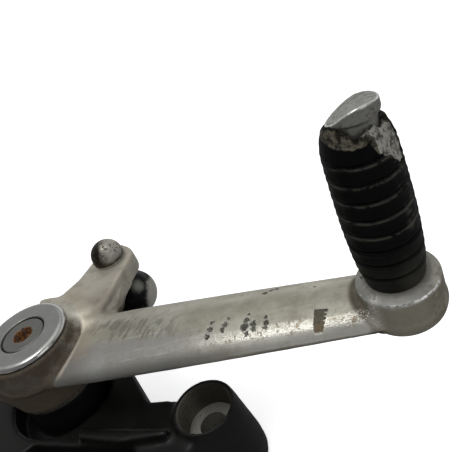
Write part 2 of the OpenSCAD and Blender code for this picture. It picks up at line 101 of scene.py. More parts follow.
class Finish:
    """A material or a world built from nodes: add() makes one node and returns its output."""

    def __init__(self, name, world=None):
        self.owner = world or bpy.data.materials.new(name)
        self.owner.use_nodes = True
        self.tree = self.owner.node_tree
        self.tree.nodes.clear()

    def add(self, kind, settings=None, inputs=None, out=0):
        node = self.tree.nodes.new(kind)
        for key, value in (settings or {}).items():
            setattr(node, key, value)
        for key, value in (inputs or {}).items():
            socket = node.inputs[key]
            if isinstance(value, Socket):
                self.tree.links.new(value.out, socket)
            elif isinstance(value, tuple) and socket.type == "RGBA" and len(value) == 3:
                socket.default_value = (*value, 1)
            else:
                socket.default_value = value
        return Socket(self, node.outputs[out]) if node.outputs else None

    def vector(self, operation, first, second, out="Vector"):
        return self.add("ShaderNodeVectorMath", {"operation": operation}, {0: first, 1: second}, out=out)

    def axes(self, vector):
        return [self.add("ShaderNodeSeparateXYZ", {}, {"Vector": vector}, out=axis) for axis in "XYZ"]

    def here(self):
        return self.add("ShaderNodeTexCoord", out="Object")

    def drawn(self, angle, length):
        """Object coordinates drawn out along a direction in the XY plane."""
        return self.add("ShaderNodeMapping", {"vector_type": "TEXTURE"}, {
            "Vector": self.here(), "Rotation": (0, 0, math.radians(angle)), "Scale": (length, 1, 1)})

    def noise(self, size, detail, rough, place=None):
        return self.add("ShaderNodeTexNoise", {}, {
            "Vector": place or self.here(), "Scale": 1.0 / size, "Detail": detail, "Roughness": rough})

    def step(self, value, low, high, a=0.0, b=1.0):
        """Goes smoothly from a to b while the value goes from low to high, which may also fall."""
        return self.add("ShaderNodeMapRange", {"interpolation_type": "SMOOTHSTEP"}, {
            "Value": value, "From Min": low, "From Max": high, "To Min": a, "To Max": b})

    def window(self, value, start, full, fade, end):
        """One between full and fade, and nothing before start and past end."""
        return self.step(value, start, full) * self.step(value, end, fade)

    def mix(self, amount, first, second):
        return self.add("ShaderNodeMix", {"data_type": "RGBA"}, {0: amount, 6: first, 7: second}, out=2)

    def coated(self, colour, *coats):
        """A colour with others laid over it in turn: each coat is its amount and its colour."""
        for amount, coat in coats:
            colour = self.mix(amount, colour, coat)
        return colour

    def bump(self, height, depth):
        return self.add("ShaderNodeBump", {}, {"Height": height, "Distance": depth, "Strength": 1.0})

    def surface(self, **inputs):
        named = {key.replace("_", " "): value for key, value in inputs.items()}
        self.add("ShaderNodeOutputMaterial", {}, {"Surface": self.add("ShaderNodeBsdfPrincipled", {}, named)})
        return self.owner


sky = bpy.data.worlds.new("studio")
scene.world = sky
air = Finish("studio", world=sky)
to_eye = air.add("ShaderNodeLightPath", out="Is Camera Ray")
through = air.add("ShaderNodeLightPath", out="Is Transmission Ray")
mirrored = air.add("ShaderNodeLightPath", out="Is Glossy Ray")
way_y, way_z = air.axes(air.add("ShaderNodeTexCoord", out="Generated"))[1:]
ceiling = air.step(way_z + way_y * 0.12, 0.66, 1.0)
horizon = air.step(way_z, 0.46, 0.05) * air.step(way_y, 0.25, 0.85)
wall = air.step(way_y, -0.9, 0.3, 0.13, 0.40)
room = air.mix(wall + ceiling * 0.42 + horizon * 0.55, (0.0, 0.0, 0.0), (1, 1, 1))
soft_light = (0.72, 0.725, 0.74)
sky_colour = air.mix(to_eye.most(through), air.mix(mirrored, soft_light, room), (1, 1, 1))
light = air.add("ShaderNodeBackground", {}, {"Color": sky_colour, "Strength": 1.0})
air.add("ShaderNodeOutputWorld", {}, {"Surface": light})

bpy.ops.mesh.primitive_plane_add(size=4.0, location=(0, 0, -0.0002))
floor = bpy.context.object
floor.name = "floor"
pale = Finish("pale_floor")
to_eye = pale.add("ShaderNodeLightPath", out="Is Camera Ray")
glow = pale.add("ShaderNodeEmission", {}, {"Color": (1, 1, 1), "Strength": to_eye * 0.62})
matt = pale.add("ShaderNodeBsdfDiffuse", {}, {"Color": pale.mix(to_eye, (0.3, 0.3, 0.3), (0.8, 0.8, 0.8))})
both = pale.add("ShaderNodeAddShader", {}, {0: glow, 1: matt})
pale.add("ShaderNodeOutputMaterial", {}, {"Surface": both})
floor.data.materials.append(pale.owner)

lit_point = Vector((0.03, 0.0, 0.05))
for lamp_name, place, size, power in (
        ("key", (-0.1, -0.12, 0.85), 0.3, 1.5),
        ("fill", (0.7, -0.4, 0.4), 0.4, 0.7)):
    lamp = bpy.data.lights.new(lamp_name, "AREA")
    lamp.size = size
    lamp.energy = power
    lamp_obj = bpy.data.objects.new(lamp_name, lamp)
    lamp_obj.location = place
    lamp_obj.rotation_euler = (lit_point - Vector(place)).to_track_quat("-Z", "Y").to_euler()
    scene.collection.objects.link(lamp_obj)

# Lever casting
# One aluminium casting: hub, D-section arm, rod arm and peg boss. Its corners have cast
# radii, and the hollow corners where the arm meets hub and boss are filled out. It is
# worn bare, scuffed and chipped, and grimy round the hub; its colour also carries painted
# shade, painted highlights and painted reflections. Sizes are mm from the pivot's foot.
PIVOT = Vector((-0.0552, 0.0143, 0.0))
PEG = Vector((118.0, 0.0))
WORN_OUT = 0.0006
CROOK_FILL = 0.0021
LIP_DROP = 0.0007


def from_pivot(v):
    return (v.co - PIVOT) * 1000


def ramp(x, low, high):
    return min(1.0, max(0.0, (x - low) / (high - low)))


def ease(x, low, high):
    t = ramp(x, low, high)
    return t * t * (3 - 2 * t)


def ring(p, inner, outer, axis=(0.0, 0.0)):
    return inner < math.hypot(p.x - axis[0], p.y - axis[1]) < outer


def relax(work, turns, inside=None):
    """Smooths the corners: turns times, over all or only inside a region in mm."""
    chosen = [v for v in work.verts if inside is None or inside(from_pivot(v))]
    for turn in range(turns):
        bmesh.ops.smooth_vert(work, verts=chosen, factor=0.5,
                              use_axis_x=True, use_axis_y=True, use_axis_z=True)


def cast_from(node, name, grain, turns):
    """A copy of a solid as one even skin, with its corners relaxed to cast radii."""
    solid = bmesh.new()
    solid.from_mesh(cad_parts[node].data)
    bmesh.ops.remove_doubles(solid, verts=solid.verts, dist=1e-6)
    mesh = bpy.data.meshes.new(name)
    solid.to_mesh(mesh)
    solid.free()
    piece = bpy.data.objects.new(name, mesh)
    scene.collection.objects.link(piece)
    fuse = piece.modifiers.new("fuse", "REMESH")
    fuse.mode = "VOXEL"
    fuse.voxel_size = grain
    ready = bpy.data.meshes.new_from_object(piece.evaluated_get(bpy.context.evaluated_depsgraph_get()))
    piece.modifiers.clear()
    piece.data = ready
    ready.name = name
    work = bmesh.new()
    work.from_mesh(ready)
    relax(work, turns)
    return piece, work


def settle(piece, work):
    for face in work.faces:
        face.smooth = True
    work.to_mesh(piece.data)
    work.free()


lever, work = cast_from("lever_casting", "lever_shell", 0.0004, 1)
# All but the boss, then the foot of the hub wall and the corner at the boss
relax(work, 3, lambda p: p.x < 104)
relax(work, 12, lambda p: ring(p, 15.2, 18.2) and p.x > 0 and p.y < 6 and 41 < p.z < 48.2)
relax(work, 7, lambda p: ring(p, 10.9, 12.6, PEG) and p.x < 117 and 41 < p.z < 50.4)
# The crook between arm and rod arm, above and below, then the rod arm and its end
relax(work, 110, lambda p: 13 < p.x < 27 and 2.5 < p.y < 17 and p.z > 44.6 and not ring(p, -1, 14.9))
relax(work, 40, lambda p: 20 < p.x < 32 and 6 < p.y < 16 and 41.5 < p.z < 47)
relax(work, 14, lambda p: p.y > 14 and p.x < 27 and p.z > 41.5)
relax(work, 30, lambda p: p.y > 30 and p.x > 19)
# The rod arm's end is worn, the crook is filled from below, and the boss has a lower lip
for v in work.verts:
    p = from_pivot(v)
    v.co.x -= WORN_OUT * ramp(p.y, 22, 32) * ramp(p.x, 17, 22)
    if 18 < p.x < 34 and p.y > 5 and p.z < 44:
        v.co.x += CROOK_FILL * math.exp(-((p.x - 22.5) / 3) ** 2 - ((p.y - 17.5) / 4) ** 2)
    at_boss = ease(math.hypot(p.x - PEG.x, p.y), 12.2, 11.5)
    v.co.z -= LIP_DROP * at_boss * ramp(p.z, 45.5, 42.5)
settle(lever, work)
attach(lever, "lever")
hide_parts("lever_casting")


def pivot_mm(finish):
    """A point's place in mm from the pivot's foot, as a vector."""
    from_foot = finish.vector("SUBTRACT", finish.here(), tuple(PIVOT))
    return finish.vector("MULTIPLY", from_foot, (1000, 1000, 1000))


def off_axis(px, py, x=0.0, y=0.0):
    return ((px - x) * (px - x) + (py - y) * (py - y)) ** 0.5


alloy = Finish("worn_alloy")
mm = pivot_mm(alloy)
px, py, pz = alloy.axes(mm)
blotch = alloy.noise(0.018, 4.0, 0.6)
patch = alloy.noise(0.0052, 5.0, 0.62)
fine = alloy.noise(0.0011, 4.0, 0.65)
grit = alloy.noise(0.00045, 2.0, 0.5)
drag = alloy.noise(0.0016, 4.0, 0.6, place=alloy.drawn(4, 9))
hatch = alloy.noise(0.0018, 3.0, 0.6, place=alloy.drawn(74, 4.0))
wide = patch - 0.5
small = fine - 0.5
from_hub = off_axis(px, py)
from_peg = off_axis(px, py, *PEG)

# Grime sits on the hub wall and a little on the rod arm; the crook and the hub's foot are darkened, and
# painted shade lies where the arm meets the boss, on the boss top round the peg's foot and along the arm's
# lower edge
hub_wall = (alloy.step(from_hub + small * 1.4, 18.9, 17.5) * alloy.step(pz, 51.6, 50.9)
            * alloy.step(py, 9.0, 4.0))
rod_arm = alloy.step(py, 9.0, 15.0) * alloy.step(px, 42.0, 32.0)
crook = alloy.step(off_axis(px, py, 24.0, 14.0), 11.0, 3.0)
hub_foot = alloy.step(pz + wide * 2.0, 42.2, 40.2) * alloy.step(from_hub, 40.0, 24.0)
boss_wall = alloy.step(from_peg, 14.5, 12.8) * alloy.step(pz, 51.6, 50.6)
# Painted shade on the boss wall, strongest where the arm meets it
boss_shade_by_arm = boss_wall * (0.34 + 0.55 * alloy.step(px, 114.0, 108.0))
# Painted shade on the boss top round the peg's foot
peg_foot_shade = alloy.step(from_peg + wide * 3.0, 9.6, 8.0) * alloy.step(pz, 50.0, 51.0)
# Painted shade along the arm's lower edge
lower_edge_shade = alloy.step(pz + wide * 0.5, 43.3, 42.8) * alloy.window(px, 50.0, 85.0, 110.0, 115.0)
grime_and_shade = (hub_wall * alloy.step(fine + wide * 0.9, 0.20, 0.5, 0.86, 1.0) + rod_arm * 0.20 + crook * 0.40
         + hub_foot * 0.9 + boss_shade_by_arm + peg_foot_shade * 0.6 + lower_edge_shade * 0.8)
grime_and_shade = (grime_and_shade * alloy.step(patch, 0.25, 0.6, 0.82, 1.0)).least(1.0)

# A painted highlight runs as a light ridge down the rod arm, through the crook and round the hub wall
bend = px - 24.2 + (py * -1.0 + 34.0).most(0.0) ** 2.0 * 0.006 + wide * 0.8
rod_ridge_highlight = alloy.step(bend.size(), 1.1, 0.25) * alloy.step(py, 6.0, 8.0) * alloy.step(pz, 45.6, 46.6)
wall_ridge_highlight = (alloy.step((from_hub - 18.5 + wide * 0.8).size(), 0.9, 0.2)
              * alloy.window(py, -15.0, -12.0, 6.0, 9.0)
              * alloy.step(px, 3.0, 8.0) * alloy.step(pz, 42.5, 44.0))
ridge_highlight = rod_ridge_highlight.most(wall_ridge_highlight)
tanned = (alloy.window(from_hub, 17.6, 18.4, 20.0, 27.0) * alloy.step(py, -11.0, -4.0)
          * alloy.step(px, 4.0, 9.0))

# The arm: bluish and dull near the hub, with painted shade on its near side and painted light on its far side
on_arm = alloy.step(from_peg, 12.0, 14.0)
bluish = alloy.step(py + px * 0.05, 0.5, -5.0) * alloy.step(px, 78.0, 40.0)
dull = alloy.window(px, 22.0, 34.0, 48.0, 62.0)
# Painted shade on the arm's near side, deepest by the hub
near_side_shade = alloy.step(py, -1.5, -6.0) * on_arm
near_root_shade = near_side_shade * alloy.step(px, 30.0, 18.0)
# Painted light on the arm's far side
far_side_light = alloy.step(py, 2.0, 6.0) * on_arm
# A painted glint band low on the arm's near side, towards the boss
glint_band = (alloy.step(py, -7.2, -8.8) * alloy.window(px, 62.0, 84.0, 110.0, 114.0)
               * alloy.step(pz, 42.2, 42.8))
# A strip along the arm's near side with painted glints and real brown flecks
glint_and_fleck_strip = (alloy.window(py, -10.4, -9.0, -7.0, -5.6) * alloy.window(px, 54.0, 72.0, 110.0, 115.0)
         * alloy.step(pz, 43.0, 44.0))
# Convex edges are lighter: worn, and with a painted highlight
edge_wear_and_highlight = alloy.step(alloy.add("ShaderNodeNewGeometry", out="Pointiness"), 0.52, 0.56)

# The boss: a stained top with a painted cool reflection on it, and a painted bright broken glint round its
# front edge
boss_top = alloy.step(from_peg, 11.6, 11.0) * alloy.step(pz, 50.9, 51.5)
boss_edge_glint = (alloy.step((from_peg - 10.95).size(), 0.30, 0.10) * alloy.step(pz, 51.0, 51.5)
             * alloy.step(py + wide * 6.0, -3.0, -5.5) * alloy.step(px, 113.0, 119.0, 0.35, 1.0))
stained = boss_wall.most(boss_top) * alloy.step(px + py * 0.3, 120.5, 125.0)
stained = stained * alloy.step(patch + small * 0.4, 0.47, 0.6)

# Chips: small dark pits with pale rims, worn bright and carrying painted glints, in rows across the arm (x, y
# and radius)
CHIPS = ((64.7, -2.9, 0.55), (64.4, -5.1, 0.85), (63.8, -7.1, 0.7), (69.8, -2.4, 0.5), (69.0, -4.4, 0.95),
         (68.2, -5.8, 0.7), (75.8, -2.1, 0.45), (75.4, -3.9, 0.8), (74.9, -6.0, 1.1), (77.4, -5.4, 0.9),
         (77.7, -6.9, 0.8), (75.6, -8.1, 0.6), (81.0, -4.0, 0.45), (81.2, -5.6, 0.75), (80.9, -7.0, 0.6),
         (79.5, 6.0, 0.8), (81.2, 7.0, 0.7), (82.8, 7.5, 0.6), (94.7, 4.9, 0.4), (109.0, 0.4, 0.8))
RAGGED = 2.3
jag = alloy.add("ShaderNodeTexNoise", {}, {
    "Vector": alloy.here(), "Scale": 1400.0, "Detail": 3.0}, out="Color")
jag = alloy.vector("MULTIPLY", jag, (RAGGED, RAGGED, RAGGED))
from_above = alloy.vector("MULTIPLY", alloy.vector("ADD", mm, jag), (1.0, 1.0, 0.0))
chips = chip_rims_and_glints = None
for x, y, radius in CHIPS:
    middle = (x + RAGGED / 2, y + RAGGED / 2, 0.0)
    away = alloy.vector("DISTANCE", from_above, middle, out="Value")
    chip = alloy.step(away, radius * 1.3, radius * 0.65)
    rim = alloy.step(away, radius * 1.9, radius * 1.2)
    chips = chip if chips is None else chips.most(chip)
    chip_rims_and_glints = rim if chip_rims_and_glints is None else chip_rims_and_glints.most(rim)
on_top = alloy.step(pz, 43.5, 44.5)
chip_rims_and_glints = chip_rims_and_glints * on_top * alloy.step(fine, 0.42, 0.6)

# One squarish brown dent, dark along its top and toothed like a comb on its right
down = (py + px * 0.12 + small * 0.5) * -1.0 + 11.6
across = px - py * 0.1 - 95.5 + small * 0.5
dent = (alloy.step(down, 4.2, 4.4) * alloy.step(down + wide * 1.5, 10.4, 9.6) * alloy.step(across, -0.2, 0.2)
        * alloy.step(across + (down - 4.4) * 0.25, 3.9, 3.5))
teeth = alloy.step((down * 0.92).maths("FRACT"), 0.62, 0.5)
solid_part = alloy.step(across + small * 2.0, 2.9, 2.2).most(alloy.step(down, 5.1, 4.9))
pits = chips.most(dent * teeth.most(solid_part)) * on_top
rust_tip = dent * alloy.step(down, 7.4, 9.0)
scuffs = (alloy.step(hatch + wide * 0.5, 0.46, 0.60) * alloy.window(px, 18.0, 27.0, 47.0, 58.0)
          * alloy.step(py + px * 0.11, -1.0, 1.6) * alloy.step(py + px * 0.23, 14.6, 11.5)
          * alloy.step(pz, 44.0, 45.0))

# Colours for the grime and for the painted shade
DEEP_GRIME_AND_SHADE = (0.036, 0.026, 0.014)
DRY_GRIME_AND_SHADE = (0.070, 0.053, 0.032)
speckled = grit + small * 0.8
brown_fill = (dent * alloy.step(down, 5.0, 5.4) * (teeth * -0.7 + 1.0)
              * alloy.step(speckled, 0.3, 0.6, 0.35, 1.0))
pit_floor = alloy.coated(
    alloy.mix(alloy.step(speckled, 0.4, 0.62), (0.016, 0.016, 0.011), (0.11, 0.105, 0.078)),
    (brown_fill, (0.095, 0.075, 0.034)),
    (rust_tip, (0.10, 0.062, 0.02)))
body = alloy.coated(
    alloy.mix(alloy.step(blotch, 0.36, 0.64), (0.37, 0.357, 0.283), (0.53, 0.517, 0.435)),
    (bluish * 0.75, (0.39, 0.39, 0.395)),
    (dull * 0.3, (0.22, 0.215, 0.19)),
    (rod_arm * 0.8, (0.47, 0.43, 0.35)),
    (boss_wall * 0.8, (0.33, 0.315, 0.24)),
    # Painted shade on the arm's near side
    (near_side_shade * 0.2 + near_root_shade * 0.45, (0.13, 0.125, 0.11)),
    # Painted light on the arm's far side
    (far_side_light * 0.3, (0.80, 0.775, 0.68)),
    # Painted cool reflection on the boss top, stronger on the side towards the pivot
    (boss_top * alloy.step(px, 128.5, 124.5, 0.25, 0.66), (0.175, 0.18, 0.19)),
    (stained * 0.42, (0.10, 0.078, 0.045)),
    # The painted glint band
    (glint_band * 0.6, (0.84, 0.825, 0.75)),
    # Lighter convex edges: wear and painted highlight
    (edge_wear_and_highlight * 0.5, (0.72, 0.70, 0.65)),
    (alloy.step(patch, 0.45, 0.72, 0.0, 0.5), (0.30, 0.28, 0.235)),
    (alloy.step(fine, 0.56, 0.76, 0.0, 0.4), (0.19, 0.17, 0.13)),
    (alloy.step(drag, 0.55, 0.75, 0.0, 0.4), (0.62, 0.615, 0.59)),
    (tanned * 0.45, (0.46, 0.385, 0.29)),
    # Grime on the hub wall, darkening at the crook and the hub's foot, and painted shade
    (grime_and_shade * 0.95, alloy.mix(fine, DEEP_GRIME_AND_SHADE, DRY_GRIME_AND_SHADE)),
    # The painted ridge highlight
    (ridge_highlight * 0.6, (0.66, 0.60, 0.50)),
    # Painted glint round the boss's front edge
    (boss_edge_glint * alloy.step(fine, 0.42, 0.54) * 0.9, (0.93, 0.925, 0.90)),
    # Painted glints in that strip, then its brown flecks
    (glint_and_fleck_strip * alloy.step(grit + wide * 0.9, 0.46, 0.66) * 0.5, (0.86, 0.85, 0.78)),
    (glint_and_fleck_strip * alloy.step(fine + wide * 0.6, 0.56, 0.66) * 0.7, (0.19, 0.125, 0.06)),
    (scuffs * 0.68, (0.15, 0.145, 0.115)),
    # Pale chip rims: worn metal with painted glints
    (chip_rims_and_glints * 0.6, (0.70, 0.69, 0.62)),
    (pits * 0.92, pit_floor))
polish = 0.54 + small * 0.3 + wide * 0.22 + grime_and_shade * 0.3 + pits * 0.2 - glint_and_fleck_strip * 0.14 - boss_edge_glint * 0.2
bare_metal = (0.80 - grime_and_shade * 0.75 - pits * 0.6 - scuffs * 0.2 + ridge_highlight * 0.3).most(0.08)
skin = (fine * 0.55 + grit * (glint_and_fleck_strip + 0.25) + patch * 1.2 - pits * 4.5 - scuffs * 1.2 + drag * 0.5
        + hub_wall * fine * 1.8)
alloy.surface(Base_Color=body, Metallic=bare_metal, Roughness=polish.most(0.24).least(0.92),
              Specular_IOR_Level=0.28, Normal=alloy.bump(skin, 0.00008))
lever.data.materials.append(alloy.owner)

# Bracket casting
# The black-painted aluminium plate that everything bolts to: sunk round the pivot,
# with a raised near edge, two counterbored mounting bosses and a clevis for the footrest.
FRONT = (55.2, -14.3)
REAR = (-38.0, -42.0)
bracket, work = cast_from("bracket_casting", "bracket_shell", 0.0007, 3)
relax(work, 8, lambda p: ring(p, 9.5, 14, FRONT) and 22.5 < p.z < 25.4)
settle(bracket, work)
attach(bracket, "bracket")
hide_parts("bracket_casting")

paint = Finish("black_paint_worn")
px, py, pz = paint.axes(pivot_mm(paint))
patch = paint.noise(0.006, 4.0, 0.6)
fine = paint.noise(0.0012, 3.0, 0.6)
peel = paint.noise(0.0006, 2.0, 0.5)
in_bores = [paint.step(off_axis(px, py, *axis), 8.75, 8.6) for axis in (FRONT, REAR)]
bore = in_bores[0].most(in_bores[1]) * paint.step(pz, 15.0, 15.2)
pointed = paint.add("ShaderNodeNewGeometry", out="Pointiness")
rubbed = paint.step(pointed + (fine - 0.5) * 0.08, 0.53, 0.6) * paint.step(patch, 0.4, 0.6)
black = paint.coated(
    paint.mix(patch, (0.0022, 0.0023, 0.0021), (0.0055, 0.0055, 0.0046)),
    (paint.step(fine, 0.6, 0.8, 0.0, 0.5), (0.02, 0.018, 0.014)),
    (rubbed * 0.4, (0.05, 0.049, 0.045)))
bare = paint.coated(
    paint.mix(patch, (0.085, 0.078, 0.06), (0.17, 0.16, 0.135)),
    (paint.step(fine, 0.5, 0.75, 0.0, 0.7), (0.05, 0.042, 0.028)),
    # Painted shade on the front bore's far wall
    (paint.step(py, -10.5, -6.5) * 0.75, (0.022, 0.019, 0.012)))
paint.surface(Base_Color=paint.mix(bore, black, bare), Metallic=bore * 0.55,
              Roughness=0.40 + (patch - 0.5) * 0.25 + bore * 0.2 + rubbed * 0.15,
              Specular_IOR_Level=0.22, Normal=paint.bump(peel * 0.5 + fine * 0.7, 0.00005))
bracket.data.materials.append(paint.owner)

# Toe peg rubber
# A moulded rubber sleeve with ring grooves, pushed over the peg. Its top is torn and
# ground away in front, which leaves a rough grey scar, and road dust sits in the grooves.
# Heights are mm above the boss's top.
BOSS_TOP = 52.0
HOLE = 5.1
GROOVES = (6.3, 11.1, 15.8, 20.5, 25.3, 30.2, 35.0, 39.85)
# The sleeve's barrel shape: height and radius
SIDE = ((1, 7.75), (1.6, 7.95), (3, 8.15), (5, 8.45), (6.5, 8.68), (10, 8.98), (13, 9.14), (17, 9.28),
        (21.5, 9.34), (27, 9.28), (31, 9.16), (35, 9.04), (38, 8.93), (40, 8.80), (41.5, 8.6),
        (43, 8.25), (44.2, 7.85), (45.5, 7.4))
# By direction round the peg: the outer edge's height, and the torn top's at radius 7.6, 6.6 and 5.2
TORN = ((-180, 44.6, 45.2, 45.8, 45.4), (-150, 45.0, 45.6, 47.0, 46.2), (-135, 44.6, 45.2, 47.9, 46.8),
        (-112, 44.1, 44.9, 47.7, 46.9), (-100, 44.0, 44.6, 46.5, 45.6), (-91, 43.8, 44.1, 44.5, 43.8),
        (-83, 43.9, 44.2, 44.3, 43.7), (-76, 44.0, 45.0, 45.7, 44.9), (-65, 44.1, 45.7, 46.4, 45.6),
        (-55, 41.2, 45.0, 46.4, 45.6), (-47, 40.0, 44.0, 46.2, 45.4), (-39, 39.2, 43.4, 45.7, 45.0),
        (-31, 37.0, 43.5, 45.4, 44.4), (-22, 36.0, 43.8, 44.8, 43.9), (-11, 36.6, 45.1, 44.4, 43.6),
        (-3, 41.0, 45.5, 44.6, 44.0), (8, 43.8, 45.2, 45.0, 44.6), (60, 44.2, 45.0, 45.2, 45.0),
        (180, 44.6, 45.2, 45.8, 45.4))
TORN_LINES = [[(row[0], row[k]) for row in TORN] for k in (1, 2, 3, 4)]


def turned(name, profile, steps, axis):
    """A round piece: a profile of radii and heights spun about an axis."""
    x, y = axis[0] / 1000 + PIVOT.x, axis[1] / 1000 + PIVOT.y
    work = bmesh.new()
    line = [work.verts.new((x + r / 1000, y, z / 1000)) for r, z in profile]
    edges = [work.edges.new(pair) for pair in zip(line, line[1:])]
    bmesh.ops.spin(work, geom=line + edges, cent=(x, y, 0), axis=(0, 0, 1), dvec=(0, 0, 0),
                   angle=math.tau, steps=steps, use_merge=True)
    bmesh.ops.remove_doubles(work, verts=work.verts, dist=1e-7)
    bmesh.ops.recalc_face_normals(work, faces=work.faces)
    piece = bpy.data.objects.new(name, bpy.data.meshes.new(name))
    scene.collection.objects.link(piece)
    return piece, work


def placed(x, y, z):
    """A point given in mm from the pivot, in the scene."""
    return Vector((x, y, z)) / 1000 + PIVOT


def between(x, table):
    for (x0, y0), (x1, y1) in zip(table, table[1:]):
        if x <= x1:
            return y0 + (y1 - y0) * max(0.0, (x - x0) / (x1 - x0))
    return table[-1][1]


def grooved(z, turn, swirl):
    """The ring grooves at one place: depth, closeness to a groove, and the dust beside it."""
    depth = gap = film = 0.0
    flecks = ease(noise.noise(Vector((swirl.x, swirl.y, z * 0.9))), -0.05, 0.2)
    for k, height in enumerate(GROOVES):
        away = z - height - 0.12 * noise.noise(swirl * 1.7 + Vector((0, 0, k * 3.1)))
        full = 0.95
        if k == 7 and turn < -60:
            full *= ease(turn, -128, -119)
        if k == 6:
            full *= 1.0 - 0.7 * ease(turn, -110, -100) * ease(turn, -84, -94)
        depth += full * math.exp(-(away / 0.42) ** 2) - 0.12 * math.exp(-((abs(away) - 0.95) / 0.4) ** 2)
        gap = max(gap, math.exp(-(away / 0.5) ** 2))
        if k > 2:
            line = math.exp(-((away + 0.66) / 0.19) ** 2) * (0.6 + 0.4 * ease(turn, -60, -30))
            scuffed = ease(turn, -48, -38) * ease(turn, -10, -20) * math.exp(-((abs(away) - 0.8) / 0.4) ** 2)
            film = max(film, line, scuffed * flecks * ease(z, 14, 22))
    return depth, gap, film


# The profile's heights are row numbers: the foot, the wall's rows, the torn top's rows, the end
WALL_ROWS = 190
TOP_ROWS = 30
TOP_ROW = 200
END_ROW = 400
profile = ([(HOLE, 0.0)] + [(6.0, 1.0 + k) for k in range(WALL_ROWS)]
           + [(5.9 - 0.02 * k, TOP_ROW + k) for k in range(TOP_ROWS)] + [(HOLE, END_ROW)])
rubber, work = turned("peg_rubber_sleeve", profile, 200, PEG)
dust = work.verts.layers.float.new("dust")
scar = work.verts.layers.float.new("scar")
pale_scar = work.verts.layers.float.new("pale_scar")
haze = work.verts.layers.float.new("haze")
for v in work.verts:
    p = from_pivot(v)
    row = round(p.z)
    a = math.atan2(p.y, p.x - PEG.x)
    turn = math.degrees(a)
    swirl = Vector((math.cos(a) * 2.2, math.sin(a) * 2.2, 0))
    ragged = max(-180, min(180, turn + 2.5 * noise.noise(swirl * 2.1)))
    crest, mid, high, neck = (between(ragged, line) for line in TORN_LINES)
    swath = ease(turn, -58, -51) * ease(turn, 2, -8)
    crest += (0.25 + 0.45 * swath) * noise.noise(swirl * 4.0)
    front = ease(turn, -178, -160) * ease(turn, 6, -4)
    lean = -0.3
    if row in (0, END_ROW):
        r = HOLE
        z = 44.2 if row else 1.0
        lean = 0.0
        v[scar] = 1.0 if row else 0.0
    elif row < TOP_ROW:
        z = 1.05 + (crest - 1.05) * (row - 1) / (WALL_ROWS - 1)
        depth, gap, film = grooved(z, turn, swirl)
        lip = ease(z, crest - 0.45, crest)
        r = between(z, SIDE) - depth - 0.30 * lip ** 2
        r += 0.05 * noise.noise(Vector((math.cos(a) * 6, math.sin(a) * 6, z * 0.5)))
        r += swath * lip * 0.5 * noise.noise(Vector((swirl.x * 3, swirl.y * 3, z)))
        flecks = ease(noise.noise(Vector((swirl.x, swirl.y, z * 0.9))), 0.12, 0.35)
        v[dust] = max(film, 0.5 * ease(turn, -46, -36) * ease(turn, -6, -18) * ease(z, 14, 22) * flecks)
        v[haze] = ease(z, 17, 3) * (1 - gap) * (0.35 + 0.65 * ease(turn, -95, -50))
        v[scar] = 0.75 * lip * front
        v[pale_scar] = max(swath, 0.45 * ease(turn, -145, -130) * ease(turn, -80, -95)) * lip
    else:
        t = (row - TOP_ROW + 1) / (TOP_ROWS + 1)
        wall_r = between(crest, SIDE) - 0.3
        r = wall_r + (5.2 - wall_r) * t
        shoulder = min(mid, crest + (wall_r - 7.6) * 3.2 + 1.2)
        z = between(r, sorted(((5.2, neck), (6.6, high), (7.6, shoulder), (max(wall_r, 7.7), crest))))
        lump = noise.fractal(Vector((math.cos(a) * r * 0.75, math.sin(a) * r * 0.75, 4.0)), 0.8, 2.2, 4)
        z += (0.25 + 0.45 * front) * lump * math.sin(math.pi * min(1, t * 1.05)) ** 0.5
        ash_patch = 0.75 * ease(turn, -78, -70) * ease(turn, -45, -55) * ease(t, 0.15, 0.35)
        v[scar] = 0.35 + 0.65 * front
        v[pale_scar] = max(swath * ease(t, 0.95, 0.7), ash_patch)
        lean *= 1 - t
    v.co = placed(PEG.x + lean + r * math.cos(a), PEG.y + r * math.sin(a), BOSS_TOP + z)
settle(rubber, work)
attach(rubber, "lever")
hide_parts("peg_rubber")

gum = Finish("peg_rubber_worn")
dusty, torn, ashen, hazy = (gum.add("ShaderNodeAttribute", {"attribute_name": name}, out="Fac")
                            for name in ("dust", "scar", "pale_scar", "haze"))
patch = gum.noise(0.004, 4.0, 0.6)
fine = gum.noise(0.0009, 4.0, 0.65)
grain = gum.noise(0.0004, 2.0, 0.5)
chunk = gum.noise(0.0017, 4.0, 0.7)
wide = patch - 0.5
small = fine - 0.5
film = dusty * gum.step(patch + small * 0.4, 0.36, 0.52)
black = gum.coated(
    gum.mix(patch, (0.0010, 0.0013, 0.0012), (0.0026, 0.0030, 0.0026)),
    (hazy * gum.step(patch, 0.3, 0.6, 0.6, 1.0), (0.030, 0.029, 0.023)),
    (film * 0.8, (0.082, 0.079, 0.066)))
crumb = gum.mix(gum.step(chunk, 0.38, 0.62), (0.014, 0.013, 0.010), (0.105, 0.095, 0.070))
ash = gum.mix(gum.step(chunk + small * 0.5, 0.32, 0.60), (0.045, 0.043, 0.038), (0.31, 0.30, 0.27))
crumb = gum.mix(gum.step(ashen + small * 0.5, 0.35, 0.65), crumb, ash)
open_torn = gum.step(torn + small * 0.5, 0.3, 0.55)
gum.surface(Base_Color=gum.mix(open_torn, black, crumb), Metallic=0.0,
            Roughness=(0.46 + wide * 0.2 + film * 0.3 + torn * 0.25).least(0.95), Specular_IOR_Level=0.07,
            Normal=gum.bump(fine * (0.4 + torn * 1.5) + chunk * torn * 4.0 + grain * 0.3, 0.00014))
rubber.data.materials.append(gum.owner)

